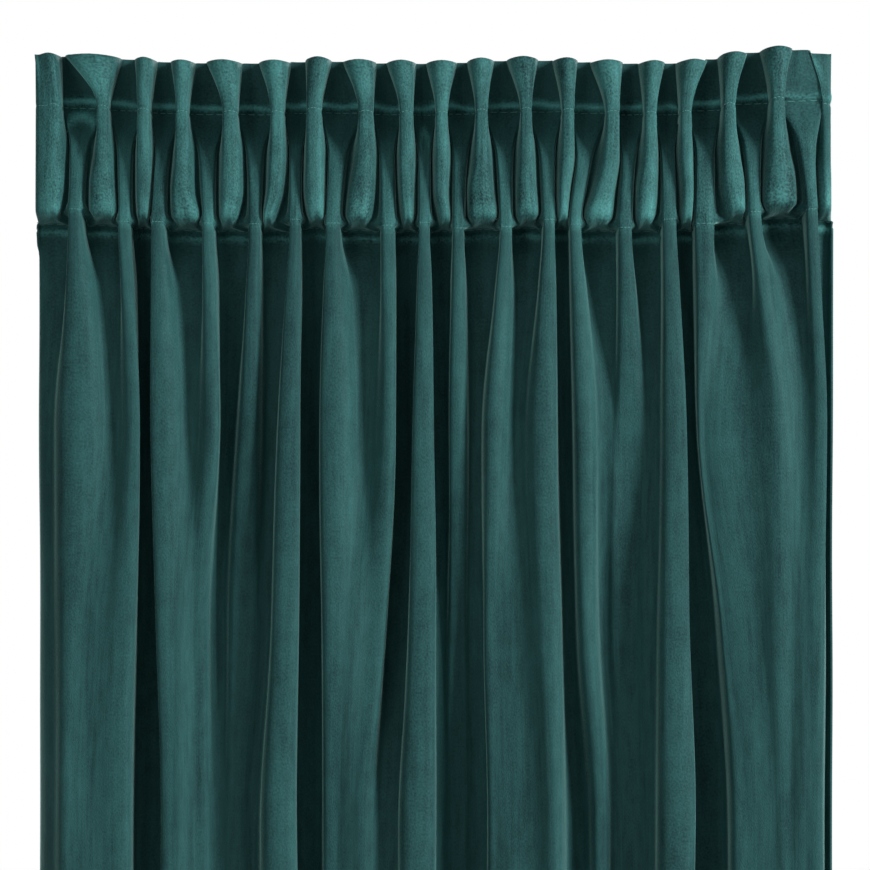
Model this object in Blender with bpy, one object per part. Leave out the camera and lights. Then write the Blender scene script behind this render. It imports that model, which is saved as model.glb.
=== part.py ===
"""Velvet drape on a gathered heading: one cloth panel and the tape that draws it up.

The panel hangs in the XZ plane, its velvet face towards -Y and its hem down -Z.
The origin is the middle of the top edge. All tables are in millimetres.
"""
from collections import namedtuple

import bpy
import numpy as np

MM = 0.001

# Driving dimensions
GATHERED_WIDTH = 600.0
EDGE_SAG = 5.0              # the middle of the heading hangs this much lower than its ends
PANEL_THICKNESS = 1.3
TAPE_GAP = 0.45             # left between the panel's back and the tape
TAPE_THICKNESS = 1.0
MITRE_LIMIT = 2.0           # longest corner of an offset layer, in layer thicknesses

# How the folds stand. Forward runs from 0 at the back plane to 1 at the front plane.
END_FORWARD = 0.15          # the two side edges
BELLY_FORWARD = 0.72        # a lower fold beside the bellies of the upper ones
LOWER_TRAVEL = 0.8          # how far a lower fold has moved from its top place there
FOOT_ROOM = 0.28            # share of the space between two folds left free at each side
LEAST_ROOM = 3.2            # between the walls of neighbouring folds
CREST_ROUNDING = 0.12       # a crest stands proud of its shoulders by this share of its width
VALLEY_LEAN = 0.35          # moves a valley towards the deeper of the two folds beside it
VALLEY_WIDTH = 0.12         # half of a valley's floor, as a share of the space between folds

# Each section is one height of the drape. Front and back are the planes that its folds
# reach, and crease is how deep the cloth turns in between an upper and a lower fold.
# The two lifts are how much of an upper and of a lower fold's rise holds.
Section = namedtuple("Section", "name height front back crease upper_lift lower_lift")
SECTIONS = [Section(*row) for row in (
    ("edge", 0, -14.0, 10.0, 0.0, 1.0, 0.0),
    ("row", -36, -12.5, 12.5, 0.0, 1.0, 0.0),
    ("belly", -100, -13.5, 11.5, 0.85, 1.0, 0.45),
    ("turn", -129, -13.5, 13.0, 0.0, 0.9, 1.0),
    ("high", -280, -19.0, 15.5, 0.0, 0.2, 0.2),
    ("middle", -430, -22.0, 18.5, 0.0, 0.0, 0.0),
    ("low", -583, -23.5, 20.0, 0.0, 0.0, 0.0),
    ("hem", -2440, -23.5, 20.0, 0.0, 0.0, 0.0),
)]
PANEL_ROWS = (0, -36, -70, -100, -129, -200, -280, -430, -583, -1500, -2440)
TAPE_ROWS = (-36, -70, -100, -129)

# The upper folds stand forward at the top stitched row and fall back at the lower one.
# Each bracket holds a fold's left and right edge. Below the heading its third value says
# how far forward the cloth stands. Rise lifts the fold in the heading.
Upper = namedtuple("Upper", "name rise edge row belly high middle low")
UPPER_FOLDS = [Upper(*row) for row in (
    ("A", -1, (-297, -283), (-292, -281), (-293, -281),
     (-296, -288, .4), (-296, -287, .5), (-296, -286, .6)),
    ("B", -1, (-279, -238), (-254, -245), (-259, -242),
     (-246, -238, .7), (-258, -249, .92), (-264, -255, .96)),
    ("C", -2.5, (-226, -211), (-224, -214), (-224, -215),
     (-225, -210, 0.0), (-227, -206, 0.0), (-230, -204, 0.0)),
    ("D", -3.5, (-199, -182), (-195, -185), (-197, -183),
     (-188, -180, .65), (-192, -187, .84), (-191, -187, .76)),
    ("E", -3, (-172, -147), (-160, -148), (-161, -147),
     (-164, -152, .1), (-169, -158, .15), (-168, -159, .32)),
    ("F", -2.5, (-132, -110), (-124, -113), (-125, -115),
     (-130, -118, .1), (-132, -123, .36), (-141, -132, .36)),
    ("G", 0, (-97, -79), (-97, -85), (-97, -84),
     (-104, -87, 0.0), (-105, -84, 0.0), (-106, -85, 0.0)),
    ("H", -1.5, (-69, -45), (-58, -46), (-64, -47),
     (-58, -47, .6), (-64, -56, .86), (-68, -63, .68)),
    ("I", -2, (-36, -15), (-27, -16), (-26, -16),
     (-31, -14, 0.0), (-38, -18, 0.0), (-42, -28, .6)),
    ("J", -2, (-6, 16), (0, 10), (0, 9),
     (-3, 12, .05), (-2, 9, .05), (-1, 8, 0.0)),
    ("K", -0.5, (25, 44), (30, 40), (26, 43),
     (26, 35, .3), (25, 38, .1), (26, 41, 0.0)),
    ("L", 0.5, (55, 77), (64, 73), (62, 75),
     (56, 66, .6), (54, 70, .7), (54, 76, .76)),
    ("M", -0.5, (90, 107), (95, 105), (92, 99),
     (93, 104, .1), (96, 106, .3), (100, 117, 0.0)),
    ("N", -2.5, (118, 141), (128, 139), (119, 134),
     (124, 134, .36), (125, 132, .06), (134, 141, .16)),
    ("O", -3.5, (155, 173), (157, 167), (152, 166),
     (161, 169, .4), (157, 168, .36), (160, 167, .36)),
    ("P", -3.5, (183, 205), (184, 193), (185, 193),
     (186, 199, 0.0), (189, 213, 0.0), (193, 223, 0.0)),
    ("Q", 1.5, (215, 235), (216, 226), (217, 234),
     (210, 232, .6), (230, 245, .72), (242, 252, .8)),
    ("R", 5, (247, 268), (252, 263), (248, 270),
     (270, 278, .8), (271, 276, .96), (272, 277, .96)),
    ("S", -3, (278, 298), (278, 298), (288, 295),
     (290, 298, 0.0), (292, 298, 0.0), (292, 298, 0.0)),
)]

# The lower folds lie between the upper ones. They stand forward from the lower stitched
# row down and make the drape's body. Rise lifts the fold's place on that row above the
# folds at its two sides.
Lower = namedtuple("Lower", "name rise turn high middle low")
LOWER_FOLDS = [Lower(*row) for row in (
    ("a", 10, (-275, -265), (-282, -252, .92), (-282, -264, .92), (-282, -269, .94)),
    ("b", 2.5, (-238, -229), (-232, -220, 1.0), (-243, -223, 1.0), (-248, -226, 1.0)),
    ("c", 4, (-213, -203), (-215, -194, .93), (-211, -195, .86), (-208, -194, .74)),
    ("d", 4, (-175, -166), (-174, -160, 1.0), (-184, -172, .64), (-184, -172, .52)),
    ("e", 3.5, (-140, -131), (-148, -134, .55), (-155, -135, .45), (-156, -144, .42)),
    ("f", 6, (-109, -101), (-119, -100, 1.0), (-124, -101, 1.0), (-130, -102, 1.0)),
    ("g", 3, (-82, -71), (-88, -64, .95), (-86, -67, .9), (-85, -71, .6)),
    ("h", 2.5, (-41, -30), (-41, -28, 1.0), (-53, -35, .78), (-60, -50, .74)),
    ("i", 5, (-12, -4), (-18, 1, 1.0), (-22, 2, 1.0), (-26, 2, 1.0)),
    ("j", 0, (13, 22), (9, 23, .62), (11, 23, .2), (10, 24, .08)),
    ("k", 0, (49, 58), (37, 51, .95), (36, 48, .66), (38, 48, .7)),
    ("l", 5, (81, 89), (71, 92, 1.0), (76, 94, 1.0), (82, 97, 1.0)),
    ("m", 2.5, (101, 110), (104, 119, .8), (108, 121, .76), (119, 130, .4)),
    ("n", 1, (137, 148), (138, 156, .44), (136, 154, .16), (143, 157, .22)),
    ("o", 7, (171, 181), (171, 190, .8), (169, 193, .84), (165, 197, 1.0)),
    ("p", 1, (195, 204), (198, 203, .52), (214, 219, .62), (222, 234, .72)),
    ("q", 5, (235, 245), (250, 264, .94), (251, 268, .9), (256, 268, .88)),
    ("r", 6, (278, 289), (283, 294, .98), (279, 292, 1.0), (279, 291, 1.0)),
)]

# Material colours, linear red, green, blue
VELVET_COLOUR = (0.018, 0.085, 0.082, 1.0)
TAPE_COLOUR = (0.60, 0.59, 0.55, 1.0)


def upper_fold(fold, section, before, after):
    """Left edge, right edge and forward value of an upper fold at a section.

    before and after are the facing edges of the lower folds at its two sides.
    """
    if section.name in ("edge", "row"):
        return (*getattr(fold, section.name), 1.0)
    if section.name == "belly":
        left, right = fold.belly
        return max(left, before + LEAST_ROOM), min(right, after - LEAST_ROOM), 1.0
    if section.name == "turn":
        room = FOOT_ROOM * (after - before)
        return before + room, after - room, 0.05
    return getattr(fold, "low" if section.name == "hem" else section.name)


def lower_fold(fold, section, before, after):
    """The same for a lower fold, between the facing edges of two upper folds."""
    if section.name in ("high", "middle", "low"):
        return getattr(fold, section.name)
    if section.name == "hem":
        return fold.low
    if section.name == "turn":
        return (*fold.turn, 1.0)
    room = FOOT_ROOM * (after - before)
    left, right = before + room, after - room
    if section.name != "belly":
        return left, right, 0.0
    left += LOWER_TRAVEL * (fold.turn[0] - left)
    right += LOWER_TRAVEL * (fold.turn[1] - right)
    return left, right, BELLY_FORWARD


def section_folds(section):
    """All folds at a section from left to right, each as left, right and forward."""
    half = GATHERED_WIDTH / 2
    key = section.name if section.name == "edge" else "row"
    lowers = []
    for index, fold in enumerate(LOWER_FOLDS):
        before = getattr(UPPER_FOLDS[index], key)[1]
        after = getattr(UPPER_FOLDS[index + 1], key)[0]
        lowers.append(lower_fold(fold, section, before, after))
    folds = []
    for index, fold in enumerate(UPPER_FOLDS):
        before = lowers[index - 1][1] if index else -half
        after = lowers[index][0] if index < len(lowers) else half
        folds.append(upper_fold(fold, section, before, after))
        if index < len(lowers):
            folds.append(lowers[index])
    return folds


def valley_points(this, following, section):
    """The two floor points of the valley between one fold and the next."""
    lean = this[2] - following[2]
    dip = (1 - abs(lean)) * min(this[2], following[2]) * section.crease
    points = []
    for side in (-VALLEY_WIDTH, VALLEY_WIDTH):
        share = 0.5 + VALLEY_LEAN * lean + side
        across = this[1] + share * (following[0] - this[1])
        forward = this[2] - share * lean - dip
        points.append((across, forward, 0.0))
    return points


def section_line(section):
    """Plan points of the cloth's face at a section, from its left edge to its right edge."""
    half = GATHERED_WIDTH / 2
    folds = section_folds(section)
    points = [(-half, END_FORWARD, 0.0)]
    for index, fold in enumerate(folds):
        left, right, forward = fold
        points.append((left, forward, 0.0))
        if index % 2:
            proud = CREST_ROUNDING * (right - left) * (2 * forward - 1)
            points.append(((left + right) / 2, forward, proud))
        points.append((right, forward, 0.0))
        if index + 1 < len(folds):
            points += valley_points(fold, folds[index + 1], section)
    points.append((half, END_FORWARD, 0.0))
    return np.array([(across, section.back + forward * (section.front - section.back) - proud)
                     for across, forward, proud in points])


def column_lifts(section):
    """How far each column of the cloth stands above the section's own height."""
    uppers = [fold.rise * section.upper_lift for fold in UPPER_FOLDS]
    lifts = [uppers[0]]
    for fold, before, after in zip(LOWER_FOLDS, uppers, uppers[1:]):
        lifts += [(before + after) / 2 + fold.rise * section.lower_lift, after]
    columns = [lifts[0]]
    for index, lift in enumerate(lifts):
        columns += [lift] * (3 if index % 2 else 2)
        if index + 1 < len(lifts):
            columns += [(lift + lifts[index + 1]) / 2] * 2
    return np.array(columns + [lifts[-1]])


def monotone_curve(knots, values, places):
    """Smooth curve through values at knots, with no overshoot, read at places."""
    knots = np.asarray(knots, float)
    steps = np.diff(knots)[:, None]
    slopes = np.diff(values, axis=0) / steps
    tangents = np.zeros_like(values)
    same_way = slopes[:-1] * slopes[1:] > 0
    before = steps[:-1] + 2 * steps[1:]
    after = 2 * steps[:-1] + steps[1:]
    with np.errstate(divide="ignore", invalid="ignore"):
        mean = (before + after) / (before / slopes[:-1] + after / slopes[1:])
    tangents[1:-1] = np.where(same_way, mean, 0.0)
    tangents[0] = slopes[0]
    tangents[-1] = slopes[-1]
    span = np.clip(np.searchsorted(knots, places, side="right") - 1, 0, len(knots) - 2)
    step = steps[span]
    part = ((places - knots[span]) / step[:, 0])[:, None]
    return (values[span] * (1 + 2 * part) * (1 - part) ** 2
            + tangents[span] * step * part * (1 - part) ** 2
            + values[span + 1] * part ** 2 * (3 - 2 * part)
            + tangents[span + 1] * step * part ** 2 * (part - 1))


def cloth_rows(heights):
    """Plan lines and lifts of the cloth's face at the given heights."""
    knots = [-section.height for section in SECTIONS]
    lines = np.array([section_line(section) for section in SECTIONS])
    lifts = np.array([column_lifts(section) for section in SECTIONS])
    places = -np.asarray(heights, float)
    flat = monotone_curve(knots, lines.reshape(len(knots), -1), places)
    return flat.reshape(len(places), -1, 2), monotone_curve(knots, lifts, places)


def offset_line(line, distance):
    """The plan line moved back by a distance, with its corners mitred."""
    runs = np.diff(line, axis=0)
    normals = np.stack((-runs[:, 1], runs[:, 0]), axis=1)
    normals /= np.linalg.norm(normals, axis=1)[:, None]
    before = np.vstack((normals[:1], normals))
    after = np.vstack((normals, normals[-1:]))
    middle = before + after
    middle /= np.linalg.norm(middle, axis=1)[:, None]
    cosine = np.maximum((middle * before).sum(axis=1), 1 / MITRE_LIMIT)
    return line + middle * (distance / cosine)[:, None]


def layer_points(heights, depth):
    """A grid of points, row by row, on the layer that lies this far behind the face."""
    lines, lifts = cloth_rows(heights)
    grid = []
    for height, line, lift in zip(heights, lines, lifts):
        moved = offset_line(line, depth)
        sag = EDGE_SAG * (2 * line[:, 0] / GATHERED_WIDTH) ** 2
        tall = height + (lift + sag if height > SECTIONS[-1].height else 0 * sag)
        grid.append(np.column_stack((moved, tall)))
    return np.array(grid) * MM


def sheet_object(name, heights, near, far, material):
    """A closed sheet between the layers near and far behind the cloth's face."""
    front = layer_points(heights, near)
    back = layer_points(heights, far)
    rows, columns = front.shape[:2]
    points = np.concatenate((front.reshape(-1, 3), back.reshape(-1, 3)))
    number = np.arange(rows * columns).reshape(rows, columns)
    behind = number + rows * columns
    faces = []
    for row in range(rows - 1):
        for column in range(columns - 1):
            window = slice(row, row + 2), slice(column, column + 2)
            faces += split_face(*cell_corners(number[window]))
            faces += [triangle[::-1] for triangle in split_face(*cell_corners(behind[window]))]
    rim = [*number[0], *number[1:, -1], *number[-1, -2::-1], *number[-2:0:-1, 0]]
    rear_rim = [*behind[0], *behind[1:, -1], *behind[-1, -2::-1], *behind[-2:0:-1, 0]]
    for index in range(len(rim)):
        after = (index + 1) % len(rim)
        faces += split_face(rim[index], rim[after], rear_rim[after], rear_rim[index])
    mesh = bpy.data.meshes.new(name)
    mesh.from_pydata(points.tolist(), [], [[int(index) for index in face] for face in faces])
    mesh.materials.append(material)
    mesh.shade_smooth()
    mesh.set_sharp_from_angle(angle=np.radians(50))
    sheet = bpy.data.objects.new(name, mesh)
    bpy.context.scene.collection.objects.link(sheet)
    return sheet


def cell_corners(cell):
    """The four corners of a cell of the grid, in order around it."""
    return cell[0, 0], cell[1, 0], cell[1, 1], cell[0, 1]


def split_face(first, second, third, fourth):
    """Two triangles for a four-sided face."""
    return [[first, second, third], [first, third, fourth]]


def cloth_material(name, colour, roughness, sheen):
    material = bpy.data.materials.new(name)
    material.use_nodes = True
    shader = material.node_tree.nodes["Principled BSDF"]
    shader.inputs["Base Color"].default_value = colour
    shader.inputs["Roughness"].default_value = roughness
    shader.inputs["Metallic"].default_value = 0.0
    shader.inputs["Sheen Weight"].default_value = sheen
    return material


def drape_panel():
    """The velvet panel, with its turned-down heading and its hems, as one sheet."""
    velvet = cloth_material("velvet", VELVET_COLOUR, 0.8, 0.6)
    return sheet_object("drape_panel", PANEL_ROWS, 0.0, PANEL_THICKNESS, velvet)


def heading_tape():
    """The tape behind the panel, sewn to it along the two stitched rows."""
    webbing = cloth_material("tape", TAPE_COLOUR, 0.9, 0.0)
    near = PANEL_THICKNESS + TAPE_GAP
    return sheet_object("heading_tape", TAPE_ROWS, near, near + TAPE_THICKNESS, webbing)


def build():
    for item in list(bpy.data.objects):
        bpy.data.objects.remove(item, do_unlink=True)
    drape_panel()
    heading_tape()


build()
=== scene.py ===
from collections import namedtuple
from math import radians

import bpy
import numpy as np
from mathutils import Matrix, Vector


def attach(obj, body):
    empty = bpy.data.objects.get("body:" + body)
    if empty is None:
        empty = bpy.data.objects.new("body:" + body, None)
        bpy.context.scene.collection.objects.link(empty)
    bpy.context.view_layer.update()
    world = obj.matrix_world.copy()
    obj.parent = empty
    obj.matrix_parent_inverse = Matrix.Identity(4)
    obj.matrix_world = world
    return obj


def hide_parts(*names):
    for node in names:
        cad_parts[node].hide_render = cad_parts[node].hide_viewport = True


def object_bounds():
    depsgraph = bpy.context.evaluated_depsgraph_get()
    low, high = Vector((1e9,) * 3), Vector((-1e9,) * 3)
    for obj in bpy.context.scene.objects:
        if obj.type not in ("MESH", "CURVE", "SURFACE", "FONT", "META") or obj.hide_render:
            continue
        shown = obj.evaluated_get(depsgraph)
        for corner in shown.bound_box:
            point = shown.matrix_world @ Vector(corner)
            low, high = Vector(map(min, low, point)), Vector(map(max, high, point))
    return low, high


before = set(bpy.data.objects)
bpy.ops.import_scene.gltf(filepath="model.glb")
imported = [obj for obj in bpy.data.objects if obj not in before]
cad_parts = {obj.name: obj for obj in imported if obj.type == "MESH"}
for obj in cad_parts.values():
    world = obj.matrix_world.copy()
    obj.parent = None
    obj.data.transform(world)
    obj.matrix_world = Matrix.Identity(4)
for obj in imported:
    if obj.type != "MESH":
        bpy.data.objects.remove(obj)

cad_low, cad_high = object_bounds()

MM = 0.001

# ---------------------------------------------------------------- sizes, in millimetres
GATHERED_WIDTH = 600.0
FLAT_WIDTH = 1400.0
LENGTH = 2440.0
EDGE_SAG = 5.0              # the middle of the heading hangs this much lower than its ends
TOP_ROW = -38.5             # the two stitched rows
LOWER_ROW = -127.5
TAPE_TOP = -36.0
TAPE_BOTTOM = -130.0

CLOTH_THICKNESS = 1.0
DOUBLE_THICKNESS = 1.35     # where the heading is turned down behind the face
HEM_THICKNESS = 1.9
SIDE_HEM = 28.0
BOTTOM_HEM = 100.0
TAPE_GAP = 0.35
STITCH_PULL = 0.5           # how deep the stitched rows draw the face in
TAPE_THICKNESS = 0.6
TAPE_INSET = 5.0            # the tape stops this far from the panel's sides
TURNED_DOWN = TAPE_BOTTOM - 2   # the heading is doubled down to here
HANG_FADE = 300.0           # over this much at the bottom the top edge's sag and rises die out

# How the folds stand. Forward runs from 0 at the back plane to 1 at the front plane.
END_FORWARD = 0.15
LEFT_END_FORWARD = 0.85     # as a share of the upper folds', in the heading
EDGE_CURVE = 1.8            # how much lower the top edge lies at an upper fold's sides
NECK_SHARE = 0.3            # a lower fold's way from its place on the lower row to its high one
NECK_SLOPE = 0.3            # how far the slope beside a soft fold reaches into the valley
NECK_FLOOR = 0.55           # how far forward a soft valley's floor stands there
SWELL = 0.18                # an upper fold's way from its width on the top row to its belly's
BELLY_TIP = 0.24            # how far the round end of a belly draws in at each side
NARROW_FOLD = 6.0           # a belly no wider than this keeps its width to its end
LEAST_ROOM = 2.0            # between the edges of neighbouring folds
FLARE = 1.3                 # how much faster than evenly the folds widen at the top edge
CREST_ROUNDING = 0.14       # a crest stands proud of its shoulders by this share of its width
WIDEST_CREST = 20.0         # and no further than a crest this wide does
SOFTENING = 1.8             # bends are this much rounder beside folds that stand forward
VALLEY_LEAN = 0.35          # moves a valley towards the deeper of the two folds beside it
VALLEY_WIDTH = 0.12         # half of a valley's floor, as a share of the space between folds

# One row for each height. Front and back are the planes the folds reach, crease is how deep
# the cloth turns in between two folds, upper and lower are how far forward each kind stands
# where its own table doesn't say, shoulder is how far a fold's edges fall behind its crest,
# travel is how far a lower fold has moved from its place behind the top row to its place on
# the lower row, room is the share of the space between two folds left free at each side of
# the fold behind them, and round is the radius, along the cloth, of the folds' bends. The two
# lifts are how much of an upper and of a lower fold's rise holds. Where a fold has no column
# for a section, its edges are worked out from the sections or the folds beside it.
Section = namedtuple("Section", "name height front back crease upper lower shoulder travel "
                     "room round upper_lift lower_lift")
SECTIONS = [Section(*row) for row in (
    ("edge", 0, -14.0, 10.0, 0.0, 1.0, 0.0, 0.22, 0.0, 0.10, 3.0, 1.0, 0.0),
    ("row", -38.5, -12.5, 12.5, 0.0, 1.0, 0.0, 0.0, 0.0, -0.03, 1.9, 1.0, 0.0),
    ("swell", -72, -13.0, 12.3, 0.80, 1.0, 0.58, 0.0, 0.36, 0.22, 1.9, 1.0, 0.25),
    ("belly", -98, -13.8, 12.0, 0.7, 1.0, 0.76, 0.0, 0.72, 0.26, 2.1, 1.0, 0.48),
    ("bulge", -117, -14.5, 12.0, 0.65, 0.98, 0.84, 0.0, 0.95, 0.28, 2.1, 1.0, 0.9),
    ("pinch", -124, -14.0, 12.5, 0.35, 0.50, 0.92, 0.0, 1.0, 0.20, 1.9, 0.9, 1.0),
    ("turn", -128, -13.5, 13.0, 0.0, 0.04, 1.0, 0.0, 1.0, 0.0, 1.9, 0.9, 1.0),
    ("neck", -172, -15.0, 13.8, 0.0, None, None, 0.0, None, None, 2.6, 0.7, 0.7),
    ("high", -280, -19.0, 15.5, 0.0, None, None, 0.0, None, None, 3.6, 0.2, 0.2),
    ("middle", -430, -22.0, 18.5, 0.0, None, None, 0.0, None, None, 4.5, 0.0, 0.0),
    ("low", -583, -23.5, 20.0, 0.0, None, None, 0.0, None, None, 5.5, 0.0, 0.0),
    ("hem", -2440, -23.5, 20.0, 0.0, None, None, 0.0, None, None, 8.0, 0.0, 0.0),
)]

# The upper folds stand forward at the top stitched row and fall back at the lower one.
# Each bracket holds a fold's left and right edge. Its third value says how far forward the
# cloth stands: all brackets below the heading have one, and in the heading only those of a fold
# that stands back from the others. Rise lifts the fold's top above its neighbours'.
Upper = namedtuple("Upper", "name rise edge row belly bulge high middle low")
UPPER_FOLDS = [Upper(*row) for row in (
    ("A", -1, (-297, -283), (-292, -281), (-294, -281), (-292, -283),
     (-296, -288, .40), (-296, -287, .50), (-296, -286, .60)),
    ("B", -1, (-279, -238), (-254, -245), (-259, -242), (-259, -240),
     (-246, -238, .70), (-258, -249, .92), (-264, -255, .96)),
    ("C", -2.5, (-226, -211), (-224, -214), (-224, -215), (-223, -216),
     (-225, -210, 0.0), (-227, -206, 0.0), (-230, -204, 0.0)),
    ("D", -3.5, (-199, -182), (-195, -185), (-198, -183), (-197, -177),
     (-188, -180, .65), (-192, -187, .84), (-191, -187, .76)),
    ("E", -3, (-172, -147), (-160, -148), (-161, -146), (-161, -151),
     (-164, -152, .10), (-169, -158, .15), (-168, -159, .32)),
    ("F", -2.5, (-132, -110), (-124, -113), (-126, -116), (-129, -122),
     (-130, -118, .10), (-132, -123, .36), (-141, -132, .36)),
    ("G", 0, (-97, -79), (-97, -85), (-98, -84), (-95, -83),
     (-104, -87, 0.0), (-105, -84, 0.0), (-106, -85, 0.0)),
    ("H", -1.5, (-69, -45), (-58, -46), (-64, -47), (-66, -50),
     (-58, -47, .60), (-64, -56, .86), (-68, -63, .68)),
    ("I", -2, (-36, -15), (-27, -16), (-26, -17), (-24, -17),
     (-31, -14, 0.0), (-38, -18, 0.0), (-42, -28, .60)),
    ("J", -2, (-6, 16), (0, 10), (0, 9), (4, 12),
     (-3, 12, .05), (-2, 9, .05), (-1, 8, 0.0)),
    ("K", -0.5, (25, 44), (30, 40), (25, 43), (26, 46),
     (26, 35, .30), (25, 38, .10), (26, 41, 0.0)),
    ("L", 0.5, (55, 77), (64, 73), (62, 75), (62, 77),
     (56, 66, .60), (54, 70, .70), (54, 76, .76)),
    ("M", -0.5, (90, 107), (95, 105), (93, 101), (93, 100),
     (93, 104, .10), (96, 106, .30), (100, 117, 0.0)),
    ("N", -2.5, (118, 141), (128, 139), (119, 134), (113, 132),
     (124, 134, .36), (125, 132, .06), (134, 141, .16)),
    ("O", -3.5, (155, 173), (157, 167), (152, 166), (152, 164),
     (161, 169, .40), (157, 168, .36), (160, 167, .36)),
    ("P", -3.5, (183, 205), (184, 193), (186, 194), (186, 193),
     (186, 199, 0.0), (189, 213, 0.0), (193, 223, 0.0)),
    ("Q", 1.5, (215, 235), (216, 226), (216, 234), (221, 234),
     (210, 232, .60), (230, 245, .72), (242, 252, .80)),
    ("R", 5, (247, 268), (252, 263), (248, 270), (246, 271),
     (270, 278, .80), (271, 276, .96), (272, 277, .96)),
    ("S", 1, (284, 298, .30), (292, 298, .50), (288, 297), (288, 297),
     (295, 298, 0.0), (295, 298, 0.0), (295, 298, 0.0)),
)]

# The lower folds lie between the upper ones. They stand forward from the lower stitched
# row down and make the drape's body. Rise lifts the fold's place on that row. Top is how much
# further forward than the others the fold stands in the heading.
Lower = namedtuple("Lower", "name rise top turn high middle low")
LOWER_FOLDS = [Lower(*row) for row in (
    ("a", 10, 0, (-275, -265), (-282, -252, .92), (-282, -264, .92), (-282, -269, .94)),
    ("b", 2.5, 0, (-238, -229), (-232, -220, 1.0), (-243, -223, 1.0), (-248, -226, 1.0)),
    ("c", 4, 0, (-213, -203), (-215, -194, .93), (-211, -195, .86), (-208, -194, .74)),
    ("d", 4, 0, (-175, -166), (-174, -160, 1.0), (-184, -172, .64), (-184, -172, .52)),
    ("e", 3.5, 0, (-140, -131), (-148, -134, .55), (-155, -135, .45), (-156, -144, .42)),
    ("f", 6, 0, (-109, -101), (-119, -100, 1.0), (-124, -101, 1.0), (-130, -102, 1.0)),
    ("g", 3, 0, (-82, -71), (-88, -64, .95), (-86, -67, .90), (-85, -71, .60)),
    ("h", 2.5, 0, (-41, -30), (-41, -28, 1.0), (-53, -35, .78), (-60, -50, .74)),
    ("i", 5, 0, (-12, -4), (-18, 1, 1.0), (-22, 2, 1.0), (-26, 2, 1.0)),
    ("j", 0, 0, (13, 22), (9, 23, .62), (11, 23, .20), (10, 24, .08)),
    ("k", 0, 0, (49, 58), (37, 51, .95), (36, 48, .66), (38, 48, .70)),
    ("l", 5, 0, (81, 90), (71, 92, 1.0), (76, 94, 1.0), (82, 97, 1.0)),
    ("m", 2.5, 0, (101, 110), (104, 119, .80), (108, 121, .76), (119, 130, .40)),
    ("n", 1, 0, (137, 148), (138, 156, .44), (136, 154, .16), (143, 157, .22)),
    ("o", 7, 0, (171, 181), (171, 190, .80), (169, 193, .84), (165, 197, 1.0)),
    ("p", 1, 0, (195, 210), (198, 203, .52), (214, 219, .62), (222, 234, .72)),
    ("q", 5, 0, (235, 245), (250, 264, .94), (251, 268, .90), (256, 268, .88)),
    ("r", 6, .4, (278, 287), (283, 294, .98), (279, 292, 1.0), (279, 291, 1.0)),
)]


# ---------------------------------------------------------------- the draped surface
def with_forward(bracket, forward):
    """A bracket's two edges and its own forward value, or the one given."""
    return bracket if len(bracket) == 3 else (*bracket, forward)


def upper_fold(fold, section, before, after):
    """Left edge, right edge and forward value of an upper fold at a section.

    before and after are the facing edges of the lower folds at its two sides.
    """
    if section.name in ("edge", "row"):
        return with_forward(getattr(fold, section.name), section.upper)
    if section.name == "swell":
        edges = [row + SWELL * (belly - row) for row, belly in zip(fold.row[:2], fold.belly)]
        return with_forward((*edges, *fold.row[2:]), section.upper)
    if section.name in ("belly", "bulge"):
        left, right = getattr(fold, section.name)
        return max(left, before + LEAST_ROOM), min(right, after - LEAST_ROOM), section.upper
    if section.name == "pinch":
        left, right = fold.bulge
        left, right = max(left, before + LEAST_ROOM), min(right, after - LEAST_ROOM)
        inset = BELLY_TIP * (right - left - NARROW_FOLD)
        return left + inset, right - inset, section.upper
    if section.name == "turn":
        room = section.room * (after - before)
        return before + room, after - room, section.upper
    if section.name == "neck":
        soft = max(fold.high[2], fold.middle[2])
        return before + NECK_SLOPE * soft * (after - before), after, NECK_FLOOR * soft
    return getattr(fold, "low" if section.name == "hem" else section.name)


def lower_fold(fold, section, before, after):
    """The same for a lower fold, between the facing edges of two upper folds."""
    if section.name == "hem":
        return fold.low
    if section.name == "neck":
        edges = [turn + NECK_SHARE * (high - turn) for turn, high in zip(fold.turn, fold.high)]
        return (*edges, 1 - NECK_SHARE * (1 - fold.high[2]))
    if section.travel is None:
        return getattr(fold, section.name)
    room = section.room * (after - before)
    left, right = before + room, after - room
    left += section.travel * (fold.turn[0] - left)
    right += section.travel * (fold.turn[1] - right)
    return left, right, section.lower + (1 - section.lower) * fold.top


def section_folds(section):
    """All folds at a section from left to right, each as left, right and forward."""
    half = GATHERED_WIDTH / 2
    lowers = []
    key = section.name if section.name == "edge" else "row"
    for index, fold in enumerate(LOWER_FOLDS):
        before = getattr(UPPER_FOLDS[index], key)[1]
        after = getattr(UPPER_FOLDS[index + 1], key)[0]
        lowers.append(lower_fold(fold, section, before, after))

    folds = []
    for index, fold in enumerate(UPPER_FOLDS):
        before = lowers[index - 1][1] if index else -half
        after = lowers[index][0] if index < len(lowers) else half
        folds.append(upper_fold(fold, section, before, after))
        if index < len(lowers):
            folds.append(lowers[index])
    return folds


def valley_points(this, following, section):
    """The two floor points of the valley between one fold and the next."""
    lean = this[2] - following[2]
    dip = min(this[2], following[2]) * section.crease
    points = []
    for side in (-VALLEY_WIDTH, VALLEY_WIDTH):
        share = 0.5 + VALLEY_LEAN * lean + side
        across = this[1] + share * (following[0] - this[1])
        forward = this[2] - share * lean - dip
        points.append((across, forward, 0.0))
    return points


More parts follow.
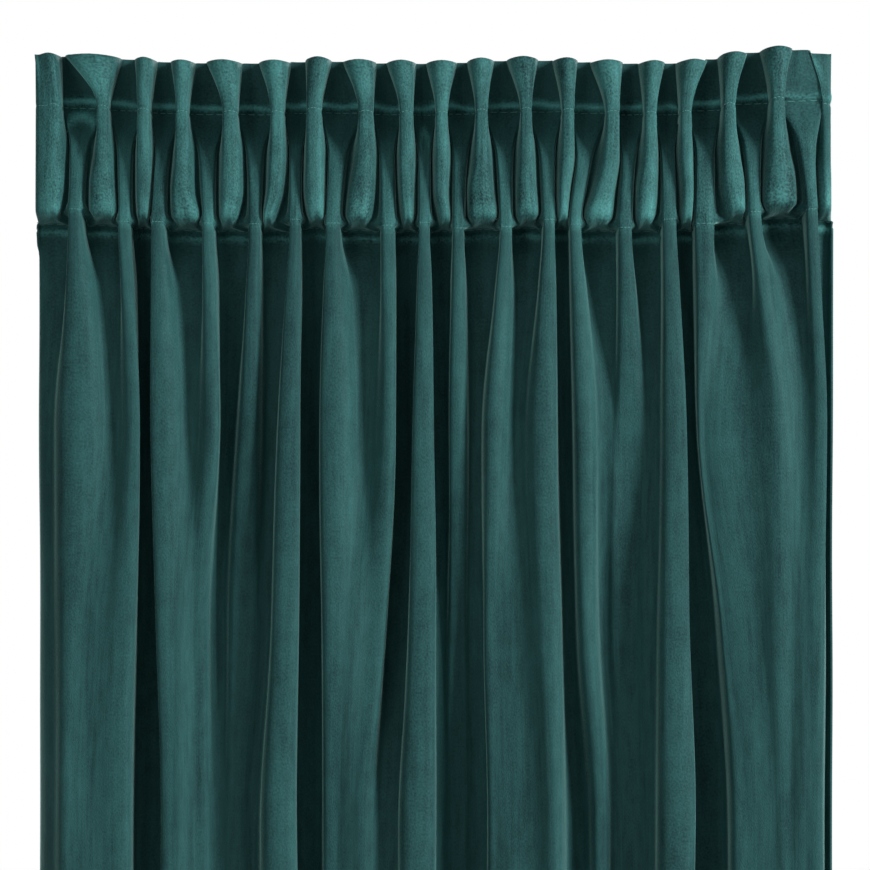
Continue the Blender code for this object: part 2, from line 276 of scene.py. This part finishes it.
def section_line(section):
    """Plan points of the cloth's face at a section: each fold's two edges and crest."""
    half = GATHERED_WIDTH / 2
    folds = section_folds(section)
    points = [(-half, max(END_FORWARD, LEFT_END_FORWARD * (section.upper or 0)), 0.0)]
    for index, (left, right, forward) in enumerate(folds):
        proud = CREST_ROUNDING * min(right - left, WIDEST_CREST) * (2 * forward - 1)
        shoulder = forward * (1 - section.shoulder)
        points += [(left, shoulder, 0.0), ((left + right) / 2, forward, proud), (right, shoulder, 0.0)]
        if index + 1 < len(folds):
            points += valley_points(folds[index], folds[index + 1], section)
    points.append((half, END_FORWARD, 0.0))
    return np.array([(across, section.back + forward * (section.front - section.back) - proud)
                     for across, forward, proud in points])


def section_lifts(section):
    """How far each plan point stands above the section's own height."""
    uppers = [fold.rise * section.upper_lift for fold in UPPER_FOLDS]
    values = [uppers[0]]
    for fold, before, after in zip(LOWER_FOLDS, uppers, uppers[1:]):
        values += [(before + after) / 2 + fold.rise * section.lower_lift, after]
    side = EDGE_CURVE * section.upper_lift
    columns = [values[0] - side]
    for index, value in enumerate(values):
        drop = 0.0 if index % 2 else side
        following = values[min(index + 1, len(values) - 1)]
        columns += [value - drop, value, value - drop] + [(value + following) / 2 - side / 2] * 2
    return np.array(columns[:-1], float)


# The plan points of an upper fold, a valley, a lower fold and another valley, in turn. The
# first of them comes after the point at the panel's left side.
PLAN_PERIOD = 10
UPPER_LEFT = 1
UPPER_RIGHT = 3
LOWER_CREST = 7


def below(level, start, span):
    """0 down to the height start, and from there evenly to 1 over the span."""
    return np.clip((start - level) / span, 0, 1)


def softness(level, places):
    """How much rounder than usual the bends are: most in the body, beside forward folds."""
    knots, values = [], []
    for index, fold in enumerate(UPPER_FOLDS):
        knots += [point + PLAN_PERIOD * index for point in (UPPER_LEFT, UPPER_RIGHT, LOWER_CREST)]
        values += [fold.middle[2], fold.middle[2], 0.0]
    return 1 + SOFTENING * below(level, -150, 100) * np.interp(places, knots, values)


MIRRORED_COLUMNS = 30       # beyond each side, so that the ends are rounded like the rest


def rounded(values, flat, radii):
    """The values with their bends rounded: a weighted mean across the cloth in each row.

    radii holds how far each mean reaches, row by row and column by column.
    """
    spread = MIRRORED_COLUMNS
    values = np.concatenate((2 * values[:, :1] - values[:, spread:0:-1], values,
                             2 * values[:, -1:] - values[:, -2:-spread - 2:-1]), axis=1)
    places = np.concatenate((-flat[spread:0:-1], flat, 2 * flat[-1] - flat[-2:-spread - 2:-1]))
    share = np.gradient(places)
    rows = []
    for row, radius in zip(values, radii):
        weights = np.exp(-0.5 * ((flat[:, None] - places) / radius[:, None]) ** 2) * share
        rows.append(weights @ row / weights.sum(axis=1))
    return np.array(rows)


def monotone_curve(knots, values, places, end_slope=1.0):
    """Smooth curve through values at knots, with no overshoot, read at places.

    end_slope makes the curve steeper or flatter at its first knot.
    """
    knots = np.asarray(knots, float)
    steps = np.diff(knots)[:, None]
    slopes = np.diff(values, axis=0) / steps
    tangents = np.zeros_like(values)
    before = steps[:-1] + 2 * steps[1:]
    after = 2 * steps[:-1] + steps[1:]
    with np.errstate(divide="ignore", invalid="ignore"):
        mean = (before + after) / (before / slopes[:-1] + after / slopes[1:])
    tangents[1:-1] = np.where(slopes[:-1] * slopes[1:] > 0, mean, 0.0)
    tangents[0] = end_slope * slopes[0]
    tangents[-1] = slopes[-1]
    span = np.clip(np.searchsorted(knots, places, side="right") - 1, 0, len(knots) - 2)
    step = steps[span]
    part = ((places - knots[span]) / step[:, 0])[:, None]
    return (values[span] * (1 + 2 * part) * (1 - part) ** 2
            + tangents[span] * step * part * (1 - part) ** 2
            + values[span + 1] * part ** 2 * (3 - 2 * part)
            + tangents[span + 1] * step * part ** 2 * (part - 1))


# How far apart the rows of points are: the widest step down to each height, the finest one
# at the stitched rows, and how fast the steps widen away from them.
WIDEST_STEPS = ((-150, 6.0), (-600, 14.0), (-LENGTH, 120.0))
FINEST_STEP = 0.8
STEP_GROWTH = 0.2
HEM_ROWS = (BOTTOM_HEM + 1.5, BOTTOM_HEM, 40.0, 2.0, 0.0)   # above the bottom edge


def graded_heights():
    """Row heights, close together at the stitched rows and wider away from them."""
    heights = [0.0]
    while heights[-1] > -LENGTH:
        height = heights[-1]
        nearest = min(abs(height - TOP_ROW), abs(height - LOWER_ROW))
        widest = next(step for limit, step in WIDEST_STEPS if height > limit)
        heights.append(height - min(widest, FINEST_STEP + STEP_GROWTH * nearest))
    last = [-LENGTH + above for above in HEM_ROWS]
    heights = [height for height in heights if height > last[0] + 20] + last
    return np.array(heights)


# Columns in each stretch between plan points: a fold's two halves, then a valley's wall, floor
# and wall. The panel's two ends have their own number.
STRETCH_STEPS = (4, 4, 2, 1, 2)
END_STEPS = 3


def column_places():
    """Where the columns lie among the plan points, more of them on the folds."""
    count = len(section_line(SECTIONS[0]))
    places = [0.0]
    for knot in range(count - 1):
        steps = STRETCH_STEPS[(knot - UPPER_LEFT) % len(STRETCH_STEPS)]
        if knot in (0, count - 2):
            steps = END_STEPS
        places += [knot + (step + 1) / steps for step in range(steps)]
    return np.array(places)


def bell(value, centre, width):
    return np.exp(-((value - centre) / width) ** 2)


def wave_noise(seed, across, along, waves):
    """Smooth uneven relief: a few sine waves of random direction and phase."""
    random = np.random.default_rng(seed)
    total = 0.0
    for length_across, length_along in waves:
        phases = random.uniform(0, 2 * np.pi, 2)
        tilt = random.uniform(-0.6, 0.6)
        angle = 2 * np.pi * across / length_across + phases[0] + tilt * along / length_along
        total = total + np.sin(angle) * np.sin(2 * np.pi * along / length_along + phases[1])
    return total / len(waves)


def unit_normals(points):
    """Unit normals of a grid of points, out of the velvet face, towards -Y."""
    down = np.gradient(points, axis=0)
    right = np.gradient(points, axis=1)
    normal = np.cross(right, -down)
    length = np.linalg.norm(normal, axis=2)[:, :, None]
    return normal / np.maximum(length, 1e-9)


# Small tucks where the heading's cloth doubles over a lower fold: the fold's name, the
# height of the tuck's top, half its width and how far it stands forward.
TUCKS = (("a", -44, 11, 4.0), ("i", -52, 7, 2.5))
TUCK_ARCH = 14.0            # how much lower a tuck lies at its ends
TUCK_SPREAD = 4.5

# Puffs in the recesses beside the stitched rows: the row, how far above it they lie, how far
# they wander up and down, how far they stand out and how uneven that is.
PUFFS = (
    (TOP_ROW, 4.8, 2.2, 4.2, 0.5),
    (LOWER_ROW, -5.0, 0.0, 1.9, -0.8),
)
PUFF_SPREAD = 2.6
PUFF_FADE = 1.5             # how fast the puffs fade as the cloth comes forward
PUFF_WAVES = ((34, 900), (53, 700), (21, 1100))     # lengths across the cloth and down it

# Puckers beside the stitched rows: height, spread and share of the full relief.
PUCKERS = (
    (LOWER_ROW + 5, 5, 1.0),
    (LOWER_ROW - 5, 4, 1.0),
    (TOP_ROW + 5, 4, 0.7),
    (TOP_ROW - 5, 4, 0.7),
)
PUCKER_HEIGHT = 0.4
PUCKER_WAVES = ((5.5, 60), (7.5, 45), (4.5, 80))
STITCH_SPREAD = 1.4         # above and below a row, the stretch that its stitches draw in
BODY_RELIEF = 0.8
BODY_WAVES = ((60, 260), (45, 380), (90, 200))

# The depths between which a point of the face counts as wholly back and wholly forward.
BACK_DEPTH = 12.0
FRONT_DEPTH = -14.0


class Cloth:
    """The face of the draped cloth as a grid of points, rows down and columns across."""

    def __init__(self, heights):
        knots = [-section.height for section in SECTIONS]
        lines = np.array([section_line(section) for section in SECTIONS])
        lifts = np.array([section_lifts(section) for section in SECTIONS])
        rows = len(heights)
        plan = monotone_curve(knots, lines.reshape(len(knots), -1), -heights, FLARE)
        plan = plan.reshape(rows, -1, 2)
        lift = monotone_curve(knots, lifts, -heights)
        places = column_places()
        count = plan.shape[1]
        across = monotone_curve(range(count), plan[:, :, 0].T, places).T
        depth = monotone_curve(range(count), plan[:, :, 1].T, places).T
        lift = monotone_curve(range(count), lift.T, places).T
        steps = np.hypot(np.diff(across, axis=1), np.diff(depth, axis=1)).mean(axis=0)
        self.flat = np.concatenate(([0.0], np.cumsum(steps)))
        self.flat *= FLAT_WIDTH / self.flat[-1]
        radii = np.array([[section.round] for section in SECTIONS])
        radii = monotone_curve(knots, radii, -heights) * softness(heights[:, None], places)
        across, depth, lift = (rounded(values, self.flat, radii) for values in (across, depth, lift))
        sag = EDGE_SAG * (2 * across / GATHERED_WIDTH) ** 2
        plain = heights[:, None] + 0 * across
        hang = np.clip((LENGTH + plain) / HANG_FADE, 0, 1)
        self.level = plain
        self.places = places
        self.points = np.stack((across, depth, plain + (lift + sag) * hang), axis=2)
        self.forward = np.clip((BACK_DEPTH - depth) / (BACK_DEPTH - FRONT_DEPTH), 0, 1)
        self.plain_points = self.points
        self.plain_normals = unit_normals(self.points)
        self.add_puffs()
        self.add_relief()

    def fold_place(self, name):
        """A lower fold's place across the flat cloth."""
        index = [fold.name for fold in LOWER_FOLDS].index(name)
        return np.interp(LOWER_CREST + PLAN_PERIOD * index, self.places, self.flat)

    def add_puffs(self):
        """Cloth that stands out of the recesses beside the stitched rows, and the tucks."""
        level = self.level
        flat = np.broadcast_to(self.flat, level.shape)
        recess = np.clip(1 - PUFF_FADE * self.forward, 0, 1)
        uneven = wave_noise(7, flat, level, PUFF_WAVES)
        puffs = np.zeros(level.shape)
        for row, above, wander, height, share in PUFFS:
            spread = bell(level, row + above + wander * uneven, PUFF_SPREAD)
            puffs += recess * height * spread * (1 + share * uneven)
        for name, top, half, height in TUCKS:
            across = (self.flat - self.fold_place(name)) / half
            arch = top - TUCK_ARCH * across ** 2
            puffs += height * bell(level, arch, TUCK_SPREAD) * bell(across, 0, 1)
        self.puffs = puffs
        self.points = self.points.copy()
        self.points[:, :, 1] -= puffs

    def add_relief(self):
        """Stitch dimples, the puckers they draw, and slow unevenness in the body."""
        flat = np.broadcast_to(self.flat, self.level.shape)
        level = self.level
        relief = np.zeros(level.shape)
        for row in (TOP_ROW, LOWER_ROW):
            relief -= STITCH_PULL * bell(level, row, STITCH_SPREAD)
        near = sum(share * bell(level, height, spread) for height, spread, share in PUCKERS)
        relief += PUCKER_HEIGHT * near * wave_noise(3, flat, level, PUCKER_WAVES)
        relief += BODY_RELIEF * below(level, -140, 120) * wave_noise(5, flat, level, BODY_WAVES)
        self.points = self.points + self.plain_normals * relief[:, :, None]


cloth = Cloth(graded_heights())


# ---------------------------------------------------------------- meshes
def grid_faces(rows, columns, start, flip):
    """Four-sided faces of a grid of points."""
    row, column = np.meshgrid(np.arange(rows - 1), np.arange(columns - 1), indexing="ij")
    first = (start + row * columns + column).ravel()
    faces = np.stack((first, first + columns, first + columns + 1, first + 1), axis=1)
    return faces[:, ::-1] if flip else faces


def rim_faces(rows, columns, offset):
    """Faces that close the sheet's four edges."""
    number = np.arange(rows * columns).reshape(rows, columns)
    rim = np.concatenate((number[0], number[1:, -1], number[-1, -2::-1], number[-2:0:-1, 0]))
    after = np.roll(rim, -1)
    return np.stack((rim, after, after + offset, rim + offset), axis=1)


def sheet_mesh(name, front, back):
    """A closed sheet between two grids of points in millimetres."""
    rows, columns = front.shape[:2]
    count = rows * columns
    points = np.concatenate((front.reshape(-1, 3), back.reshape(-1, 3))) * MM
    faces = np.concatenate((grid_faces(rows, columns, 0, False),
                            grid_faces(rows, columns, count, True),
                            rim_faces(rows, columns, count)))
    mesh = bpy.data.meshes.new(name)
    mesh.from_pydata(points.tolist(), [], faces.tolist())
    mesh.validate()
    mesh.shade_smooth()
    return mesh


def add_object(name, mesh, *materials):
    piece = bpy.data.objects.new(name, mesh)
    bpy.context.scene.collection.objects.link(piece)
    for material in materials:
        mesh.materials.append(material)
    return piece


def store_cloth_places(mesh, flat, level):
    """Each point's place on the flat cloth in metres, the same on the sheet's two sides."""
    place = np.stack((flat, level, 0 * flat), axis=2).reshape(-1, 3) * MM
    layer = mesh.attributes.new("cloth", "FLOAT_VECTOR", "POINT")
    layer.data.foreach_set("vector", np.concatenate((place, place)).astype(np.float32).ravel())


# ---------------------------------------------------------------- materials
def new_material(name):
    material = bpy.data.materials.new(name)
    material.use_nodes = True
    tree = material.node_tree
    return material, tree, tree.nodes["Principled BSDF"]


def feed_input(tree, node, key, value):
    """Link another node's output to an input, or set the input to a plain value."""
    if isinstance(value, bpy.types.NodeSocket):
        tree.links.new(value, node.inputs[key])
    else:
        node.inputs[key].default_value = value


def add_node(tree, kind, inputs=None, **settings):
    node = tree.nodes.new(kind)
    for key, value in settings.items():
        setattr(node, key, value)
    for key, value in (inputs or {}).items():
        feed_input(tree, node, key, value)
    return node


def noise(tree, vector, detail, **inputs):
    """A noise pattern's value, from about 0 to 1."""
    node = add_node(tree, "ShaderNodeTexNoise",
                    {"Vector": vector, "Scale": 1.0, "Detail": detail, **inputs})
    return node.outputs["Fac"]


def cloth_place(tree, scale):
    """The point's place on the flat cloth in metres, stretched by scale."""
    place = add_node(tree, "ShaderNodeAttribute", attribute_name="cloth")
    mapping = add_node(tree, "ShaderNodeMapping", {"Vector": place.outputs["Vector"], "Scale": scale})
    return mapping.outputs["Vector"]


def math_node(tree, operation, *values):
    return add_node(tree, "ShaderNodeMath", dict(enumerate(values)), operation=operation).outputs[0]


def mix_colours(tree, factor, first, second):
    """From the first colour at 0 to the second at 1, and on in the same way past 1."""
    node = add_node(tree, "ShaderNodeMix", data_type="RGBA", clamp_factor=False)
    for key, value in ((0, factor), (6, first), (7, second)):
        feed_input(tree, node, key, value)
    return node.outputs[2]


VELVET_DEEP = (0.005, 0.028, 0.030, 1.0)
VELVET_BRIGHT = (0.040, 0.160, 0.155, 1.0)
PLAIN_TONE = 0.27           # of the velvet between deep and bright, where nothing lightens it
BRUSHED_SHARE = 0.70        # what each pattern adds to the tone: wide brushed stretches,
STREAKS_SHARE = 0.32        # streaks down the cloth,
MOTTLE_SHARE = 0.30         # small blotches
PILE_SHARE = 0.60           # and the pile's own grain
UNEVEN_MEAN = 0.98          # about what they add together on average
LIGHTENED_CONTRAST = 6.0          # how much stronger they show where the velvet is lightened by nap and painted light
MOST_GRAIN = 0.4            # lightening past this shows them no stronger


def velvet_material():
    """Cut velvet: dark pile, uneven where it is brushed, lighter where a nap and painted light are
    laid on, with painted sheen at grazing rims.
    """
    material, tree, shader = new_material("teal_velvet")
    brushed = noise(tree, cloth_place(tree, (22.0, 4.5, 1.0)), 5.0, Roughness=0.66, Distortion=0.5)
    streaks = noise(tree, cloth_place(tree, (260.0, 16.0, 1.0)), 3.0)
    mottle = noise(tree, cloth_place(tree, (110.0, 70.0, 1.0)), 4.0)
    pile = noise(tree, cloth_place(tree, (900.0, 560.0, 1.0)), 3.0)
    # per point: a lighter nap in the heading plus painted sheen, painted highlights and painted shade
    nap_and_painted_light = add_node(tree, "ShaderNodeAttribute", attribute_name="nap_and_painted_light").outputs["Fac"]

    uneven = math_node(tree, "MULTIPLY", brushed, BRUSHED_SHARE)
    for pattern, share in ((streaks, STREAKS_SHARE), (mottle, MOTTLE_SHARE), (pile, PILE_SHARE)):
        uneven = math_node(tree, "MULTIPLY_ADD", pattern, share, uneven)
    uneven = math_node(tree, "SUBTRACT", uneven, UNEVEN_MEAN)
    grain = math_node(tree, "MINIMUM", nap_and_painted_light, MOST_GRAIN)
    contrast = math_node(tree, "MULTIPLY_ADD", grain, LIGHTENED_CONTRAST, 1.0)
    # painted sheen: the base colour is lightened at grazing rims, more where the velvet is lightened
    facing = add_node(tree, "ShaderNodeLayerWeight", {"Blend": 0.5})
    rim = math_node(tree, "POWER", facing.outputs["Facing"], 4.0)
    painted_sheen_share = math_node(tree, "MULTIPLY_ADD", grain, 0.5, 0.08)

    tone = math_node(tree, "MULTIPLY_ADD", uneven, contrast, PLAIN_TONE)
    # the painted light and nap lightening are added to the tone
    tone = math_node(tree, "ADD", tone, nap_and_painted_light)
    tone = math_node(tree, "MULTIPLY_ADD", rim, painted_sheen_share, tone)
    tone = math_node(tree, "MAXIMUM", tone, 0.0)
    colour = mix_colours(tree, tone, VELVET_DEEP, VELVET_BRIGHT)
    tree.links.new(colour, shader.inputs["Base Color"])
    height = math_node(tree, "MULTIPLY_ADD", streaks, 0.5, pile)
    bump = add_node(tree, "ShaderNodeBump", {"Height": height, "Strength": 0.5, "Distance": 0.0008})
    tree.links.new(bump.outputs["Normal"], shader.inputs["Normal"])
    shader.inputs["Roughness"].default_value = 0.7
    shader.inputs["Specular IOR Level"].default_value = 0.15
    shader.inputs["Sheen Weight"].default_value = 0.75
    shader.inputs["Sheen Roughness"].default_value = 0.3
    shader.inputs["Sheen Tint"].default_value = (0.45, 0.85, 0.80, 1.0)
    return material


def woven_material(name, dark, light, threads, bump_depth):
    """Plain weave: two sets of threads, by turns over and under."""
    material, tree, shader = new_material(name)
    waves = {"Vector": cloth_place(tree, (threads, threads, 1.0)),
             "Scale": 0.32, "Distortion": 0.6, "Detail": 1.0}
    across = add_node(tree, "ShaderNodeTexWave", waves, bands_direction="X")
    along = add_node(tree, "ShaderNodeTexWave", waves, bands_direction="Y")
    uneven = noise(tree, cloth_place(tree, (30.0, 30.0, 1.0)), 5.0)
    weave = math_node(tree, "MULTIPLY", across.outputs["Fac"], along.outputs["Fac"])
    tone = math_node(tree, "MULTIPLY_ADD", uneven, 0.5, weave)
    colour = mix_colours(tree, tone, dark, light)
    tree.links.new(colour, shader.inputs["Base Color"])
    bump = add_node(tree, "ShaderNodeBump", {"Height": weave, "Strength": 0.5, "Distance": bump_depth})
    tree.links.new(bump.outputs["Normal"], shader.inputs["Normal"])
    shader.inputs["Roughness"].default_value = 0.88
    shader.inputs["Specular IOR Level"].default_value = 0.1
    return material


def thread_material():
    material, tree, shader = new_material("thread")
    ply = add_node(tree, "ShaderNodeTexNoise", {"Scale": 900.0, "Detail": 2.0})
    colour = mix_colours(tree, ply.outputs["Fac"], (0.03, 0.14, 0.13, 1.0), (0.12, 0.36, 0.33, 1.0))
    tree.links.new(colour, shader.inputs["Base Color"])
    shader.inputs["Roughness"].default_value = 0.5
    return material


velvet = velvet_material()
velvet_back = woven_material("velvet_back", (0.012, 0.055, 0.053, 1.0), (0.03, 0.12, 0.115, 1.0),
                             threads=900.0, bump_depth=0.0003)
webbing = woven_material("tape_weave", (0.42, 0.41, 0.37, 1.0), (0.74, 0.73, 0.69, 1.0),
                         threads=700.0, bump_depth=0.0004)
thread = thread_material()


# ---------------------------------------------------------------- the panel
# How much the velvet is lightened: partly by a lighter nap in the heading, mostly by painted light,
# that is painted highlights and sheen, with recesses left darker as painted shade.
HEADING_NAP_AND_PAINTED_LIGHT = 0.26          # a lighter nap, and painted light on the forward cloth of the heading that leaves recesses darker as painted shade
BELLY_PAINTED_HIGHLIGHT = 0.30            # a painted highlight at the bellies' ends
BELLY_END = -114
BELLY_END_SPREAD = 8
WING_PAINTED_SHEEN = 1.2              # painted sheen on the left wings of the widest flares
WING_PLACE = UPPER_LEFT - 0.1
WING_HEIGHT = -14
WING_SPREAD = 13
PLAIN_FLARE = 3             # a fold that flares no more than this to its left has no wing
WING_FLARE = 14             # and one that flares this much further has a whole one
PUFF_PAINTED_HIGHLIGHT = 0.32             # a painted highlight for each millimetre that a puff stands out
LIGHTENING_END = -128              # down to here; it dies out over the next stretch
LIGHTENING_FADE = 6

# How much of an upper fold each plan point is: the fold's three points, the two of a valley,
# the lower fold's three and the next valley's two.
UPPER_SHARES = [1.0] * 3 + [0.5] * 2 + [0.0] * 3 + [0.5] * 2


def cloth_depths():
    """How thick the cloth is at each grid point: doubled at the heading and the hems."""
    level = cloth.level
    flat = np.broadcast_to(cloth.flat, level.shape)
    depth = np.full(level.shape, CLOTH_THICKNESS)
    depth[level > TURNED_DOWN] = DOUBLE_THICKNESS
    body = level <= TURNED_DOWN
    depth[body & ((flat < SIDE_HEM) | (flat > FLAT_WIDTH - SIDE_HEM))] = HEM_THICKNESS
    depth[level < -LENGTH + BOTTOM_HEM + 0.5] = HEM_THICKNESS
    return depth


def nap_and_painted_light_values():
    """How much each point of the velvet is lightened.

    A lighter nap on the forward folds of the heading, with painted light that leaves recessed cloth
    darker as painted shade; a painted highlight at the bellies' ends, painted sheen on the wings of
    the widest flares and a painted highlight on the puffs beside the stitched rows.
    """
    level = cloth.level
    shares = [0.0] + UPPER_SHARES * len(UPPER_FOLDS)
    upper = np.interp(cloth.places, range(len(shares)), shares)
    # painted highlight at the bellies' ends
    belly_end = bell(level, BELLY_END, BELLY_END_SPREAD)
    # painted light: the further forward the cloth stands, the lighter, so recesses stay darker as
    # painted shade
    nap_and_painted_light = (HEADING_NAP_AND_PAINTED_LIGHT + BELLY_PAINTED_HIGHLIGHT * upper * belly_end) * cloth.forward ** 2
    # painted sheen on the left wings of the widest flares
    for index, fold in enumerate(UPPER_FOLDS):
        flare = fold.row[0] - fold.edge[0]
        wing = np.clip((flare - PLAIN_FLARE) / WING_FLARE, 0, 1)
        beside = bell(cloth.places, WING_PLACE + PLAN_PERIOD * index, 1.0)
        nap_and_painted_light = nap_and_painted_light + WING_PAINTED_SHEEN * wing * beside * bell(level, WING_HEIGHT, WING_SPREAD)
    # painted highlight on the puffs, added below the heading too
    return (1 - below(level, LIGHTENING_END, LIGHTENING_FADE)) * nap_and_painted_light + PUFF_PAINTED_HIGHLIGHT * cloth.puffs


def make_panel():
    back = cloth.points - cloth.plain_normals * cloth_depths()[:, :, None]
    mesh = sheet_mesh("drape", cloth.points, back)
    rows, columns = cloth.level.shape
    flat = np.broadcast_to(cloth.flat, cloth.level.shape)
    store_cloth_places(mesh, flat, cloth.level)
    # the painted light and nap lightening, stored per point for the velvet
    nap_and_painted_light = nap_and_painted_light_values().ravel()
    layer = mesh.attributes.new("nap_and_painted_light", "FLOAT", "POINT")
    layer.data.foreach_set("value", np.concatenate((nap_and_painted_light, nap_and_painted_light)).astype(np.float32))
    panel = add_object("drape", mesh, velvet, velvet_back)
    front_faces = (rows - 1) * (columns - 1)
    slots = np.zeros(len(mesh.polygons), dtype=np.int32)
    back_slots = np.zeros((rows - 1, columns - 1), dtype=np.int32)
    back_slots[cloth.level[:-1, :-1] < TURNED_DOWN] = 1
    slots[front_faces:2 * front_faces] = back_slots.ravel()
    mesh.polygons.foreach_set("material_index", slots)
    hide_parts("drape_panel")
    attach(panel, "root")
    return panel


def make_tape():
    rows = (cloth.level[:, 0] <= TAPE_TOP) & (cloth.level[:, 0] >= TAPE_BOTTOM)
    columns = (cloth.flat >= TAPE_INSET) & (cloth.flat <= FLAT_WIDTH - TAPE_INSET)
    covered = np.ix_(rows, columns)
    normals = cloth.plain_normals[covered]
    points = cloth.plain_points[covered]
    near = DOUBLE_THICKNESS + TAPE_GAP + STITCH_PULL
    mesh = sheet_mesh("tape", points - normals * near, points - normals * (near + TAPE_THICKNESS))
    flat = np.broadcast_to(cloth.flat, cloth.level.shape)[covered]
    store_cloth_places(mesh, flat, cloth.level[covered])
    tape = add_object("tape", mesh, webbing)
    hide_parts("heading_tape")
    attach(tape, "root")
    return tape


STITCH_PITCH = 4.0
STITCH_LENGTH = 3.0
STITCH_RADIUS = 0.22
THREAD_LIFT = 0.1           # how far the thread's middle lies off the cloth
STITCH_SIDES = 6
# Each stitch has a ring of points at these shares of its length, with these shares of its radius.
STITCH_RINGS = ((-0.5, 0.35), (-0.3, 0.9), (0.0, 1.0), (0.3, 0.9), (0.5, 0.35))


def make_stitches(name, row_height, depth):
    """A row of machine stitches along the cloth at one height, depth in front of its face."""
    sides = STITCH_SIDES
    shares, sizes = np.array(STITCH_RINGS).T
    row = int(np.argmin(np.abs(cloth.level[:, 0] - row_height)))
    face = cloth.points if depth > 0 else cloth.plain_points
    line = face[row] + cloth.plain_normals[row] * depth
    up = np.array([0.0, 0.0, 1.0])
    points, faces = [], []
    for centre in np.arange(STITCH_PITCH, FLAT_WIDTH - STITCH_PITCH, STITCH_PITCH):
        run = centre + STITCH_LENGTH * shares
        path = np.stack([np.interp(run, cloth.flat, line[:, axis]) for axis in range(3)], axis=1)
        start = len(points)
        side = np.cross(path[-1] - path[0], up)
        side = side / np.linalg.norm(side)
        for place, size in zip(path, STITCH_RADIUS * sizes):
            for angle in 2 * np.pi * np.arange(sides) / sides:
                points.append(place + size * (np.cos(angle) * up + np.sin(angle) * side))
        for first in range(start, len(points) - sides, sides):
            for turn in range(sides):
                after = (turn + 1) % sides
                faces.append((first + turn, first + after,
                              first + sides + after, first + sides + turn))
        faces.append(tuple(reversed(range(start, start + sides))))
        faces.append(tuple(range(len(points) - sides, len(points))))
    mesh = bpy.data.meshes.new(name)
    mesh.from_pydata((np.array(points) * MM).tolist(), [], faces)
    mesh.shade_smooth()
    stitches = add_object(name, mesh, thread)
    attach(stitches, "root")
    return stitches


# ---------------------------------------------------------------- camera, lights and floor
CAMERA_DISTANCE = 2.0
VIEW_WIDTH = 0.6525         # at the heading's front
HEADING_FRONT = -0.012
VIEW_CENTRE_HEIGHT = -0.2835
SENSOR_WIDTH = 36.0


def make_camera():
    data = bpy.data.cameras.new("camera")
    data.sensor_width = SENSOR_WIDTH
    data.lens = SENSOR_WIDTH * CAMERA_DISTANCE / VIEW_WIDTH
    data.clip_end = 50.0
    camera = bpy.data.objects.new("camera", data)
    camera.location = (0.0, HEADING_FRONT - CAMERA_DISTANCE, VIEW_CENTRE_HEIGHT)
    camera.rotation_euler = (radians(90), 0.0, 0.0)
    bpy.context.scene.collection.objects.link(camera)
    bpy.context.scene.camera = camera


def soft_light(name, place, target, size, power):
    data = bpy.data.lights.new(name, "AREA")
    data.shape = "RECTANGLE"
    data.size, data.size_y = size
    data.energy = power
    light = bpy.data.objects.new(name, data)
    light.location = place
    light.rotation_euler = (Vector(target) - Vector(place)).to_track_quat("-Z", "Y").to_euler()
    bpy.context.scene.collection.objects.link(light)


WORLD_STRENGTH = 0.22
BACKDROP_STRENGTH = 1.0     # of the world where it is seen directly


def make_world():
    world = bpy.data.worlds.new("studio")
    world.use_nodes = True
    tree = world.node_tree
    background = tree.nodes["Background"]
    rays = add_node(tree, "ShaderNodeLightPath")
    strength = math_node(tree, "MULTIPLY_ADD", rays.outputs["Is Camera Ray"],
                         BACKDROP_STRENGTH - WORLD_STRENGTH, WORLD_STRENGTH)
    tree.links.new(strength, background.inputs["Strength"])
    background.inputs["Color"].default_value = (1.0, 1.0, 1.0, 1.0)
    bpy.context.scene.world = world


FLOOR_HALF = 4.0
FLOOR_GAP = 0.015           # below the hem


def make_floor():
    mesh = bpy.data.meshes.new("floor")
    half, low = FLOOR_HALF, cad_low.z - FLOOR_GAP
    corners = [(-half, -half, low), (half, -half, low), (half, half, low), (-half, half, low)]
    mesh.from_pydata(corners, [], [(0, 1, 2, 3)])
    material, tree, shader = new_material("floor")
    grain = add_node(tree, "ShaderNodeTexNoise", {"Scale": 30.0, "Detail": 3.0}).outputs["Fac"]
    colour = mix_colours(tree, grain, (0.74, 0.74, 0.73, 1.0), (0.80, 0.80, 0.79, 1.0))
    tree.links.new(colour, shader.inputs["Base Color"])
    shader.inputs["Roughness"].default_value = 0.7
    floor = add_object("floor", mesh, material)


make_camera()
make_world()
soft_light("key", (2.7, -1.9, 0.5), (0.0, 0.0, -0.6), (0.8, 1.8), 168.0)
soft_light("fill", (-1.4, -2.8, -0.3), (0.0, 0.0, -0.8), (1.2, 2.2), 17.0)
soft_light("top", (0.5, -1.3, 1.5), (0.0, 0.0, -0.1), (1.8, 0.5), 5.0)
soft_light("back", (0.8, 2.6, 0.2), (0.0, 0.0, -1.0), (1.4, 2.2), 60.0)
make_floor()
bpy.context.scene.view_settings.view_transform = "Standard"

panel = make_panel()
tape = make_tape()
top_stitches = make_stitches("top_stitches", TOP_ROW, THREAD_LIFT)
lower_stitches = make_stitches("lower_stitches", LOWER_ROW, THREAD_LIFT)
tape_back = -(DOUBLE_THICKNESS + TAPE_GAP + STITCH_PULL + TAPE_THICKNESS + THREAD_LIFT)
top_bobbin = make_stitches("top_bobbin_stitches", TOP_ROW, tape_back)
lower_bobbin = make_stitches("lower_bobbin_stitches", LOWER_ROW, tape_back)
